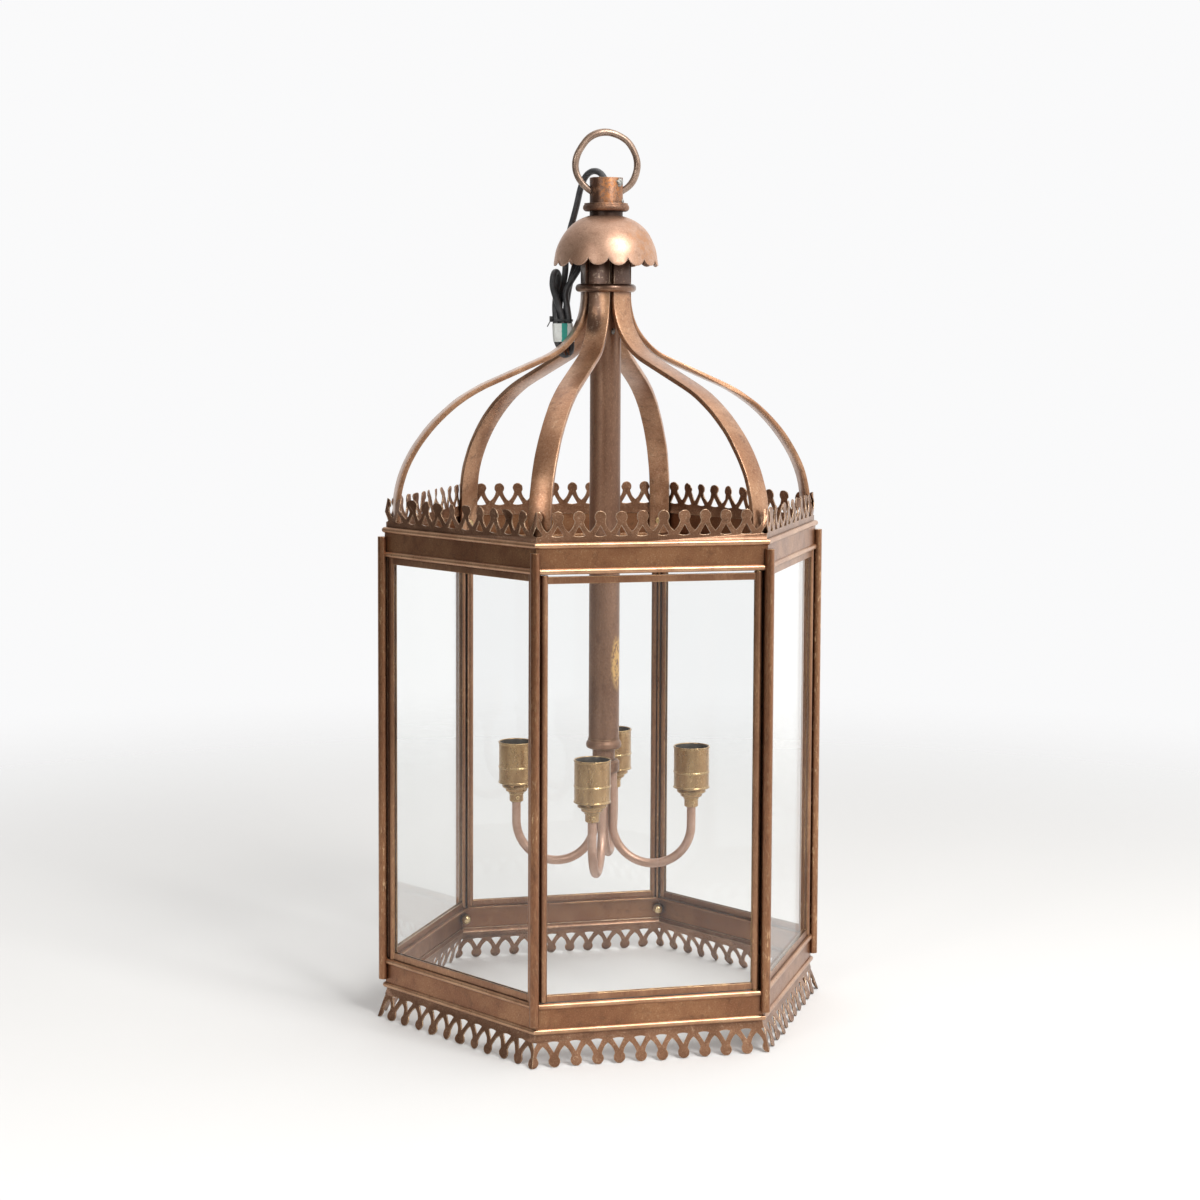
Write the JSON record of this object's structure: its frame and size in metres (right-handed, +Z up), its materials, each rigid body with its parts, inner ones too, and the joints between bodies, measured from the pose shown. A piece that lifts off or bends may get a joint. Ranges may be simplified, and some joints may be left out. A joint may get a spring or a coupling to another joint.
{
  "type": "hanging lantern",
  "caption": "Hexagonal glazed hanging lantern in patinated brass and copper, with an ogee strap crown, a scalloped dome, a hinged door and a cluster of lampholders.",
  "frame": {"origin": "centre of the lantern's box at its lowest level, where its lower pendants touch a surface", "axes": "+Z up along the stem, the door faces -Y, corner posts on +X and every 60 degrees"},
  "size_m": [0.508, 0.44, 0.971],
  "materials": {
    "patinated_brass": "aged brown patina",
    "bead_brass": "rubbed patina",
    "frame_brass": "aged brown patina",
    "gallery_copper": "aged copper patina",
    "crown_copper": "aged copper patina",
    "stem_copper": "aged brown patina",
    "arm_copper": "dusty copper",
    "holder_brass": "satin antique brass",
    "bright_brass": "polished",
    "holder_insert": "moulded",
    "clear_glass": "clear",
    "black_flex": "satin sheath",
    "black_nylon": "matte",
    "tag_vinyl": "matte vinyl",
    "core_insulation": "matte"
  },
  "bodies": {
    "lantern": {"bottom_rail": "patinated_brass", "top_rail": "patinated_brass", "rail_beads": "bead_brass", "lower_gallery": "gallery_copper", "upper_gallery": "gallery_copper", "corner_post_1": "patinated_brass", "corner_post_2": "patinated_brass", "corner_post_3": "patinated_brass", "corner_post_4": "patinated_brass", "corner_post_5": "patinated_brass", "corner_post_6": "patinated_brass", "pane_frame_1": "frame_brass", "pane_frame_2": "frame_brass", "pane_frame_3": "frame_brass", "pane_frame_4": "frame_brass", "pane_frame_5": "frame_brass", "glass_pane_1": "clear_glass", "glass_pane_2": "clear_glass", "glass_pane_3": "clear_glass", "glass_pane_4": "clear_glass", "glass_pane_5": "clear_glass", "post_ball_nuts": "bright_brass", "strap_screws": "bright_brass", "crown_strap_1": "crown_copper", "crown_strap_2": "crown_copper", "crown_strap_3": "crown_copper", "crown_strap_4": "crown_copper", "crown_strap_5": "crown_copper", "crown_strap_6": "crown_copper", "crown_core": "crown_copper", "neck_collar": "crown_copper", "scalloped_dome": "crown_copper", "bead_collar": "crown_copper", "neck_tube": "crown_copper", "flex_grip": "black_nylon", "stem_tube": "stem_copper", "stem_end_cap": "stem_copper", "cluster_boss": "stem_copper", "cluster_arm_1": "arm_copper", "cluster_arm_2": "arm_copper", "cluster_arm_3": "arm_copper", "cluster_arm_4": "arm_copper", "lampholder_shell_1": "holder_brass", "lampholder_shell_2": "holder_brass", "lampholder_shell_3": "holder_brass", "lampholder_shell_4": "holder_brass", "lampholder_caps": "holder_brass", "lampholder_inserts": "holder_insert", "flex_cord": "black_flex", "flex_hank": "black_flex", "flex_tag": "tag_vinyl", "flex_tie": "black_nylon", "flex_cores": "core_insulation"},
    "ring": {"hanging_ring": "crown_copper"},
    "door": {"door_free_stile": "frame_brass", "door_hinge_stile": "frame_brass", "door_top_bar": "frame_brass", "door_bottom_bar": "frame_brass", "door_glass": "clear_glass", "door_pintles": "bright_brass"}
  },
  "joints": [
    {"name": "door_swing", "type": "hinge", "parent": "lantern", "child": "door", "pos_m": [0.1133, -0.208, 0.06501], "axis": [0, 0, 1], "range_deg": [0, 100]},
    {"name": "ring_swing", "type": "hinge", "parent": "lantern", "child": "ring", "pos_m": [0, 0, 0.90331], "axis": [1, 0, 0], "range_deg": [0, 75]}
  ]
}
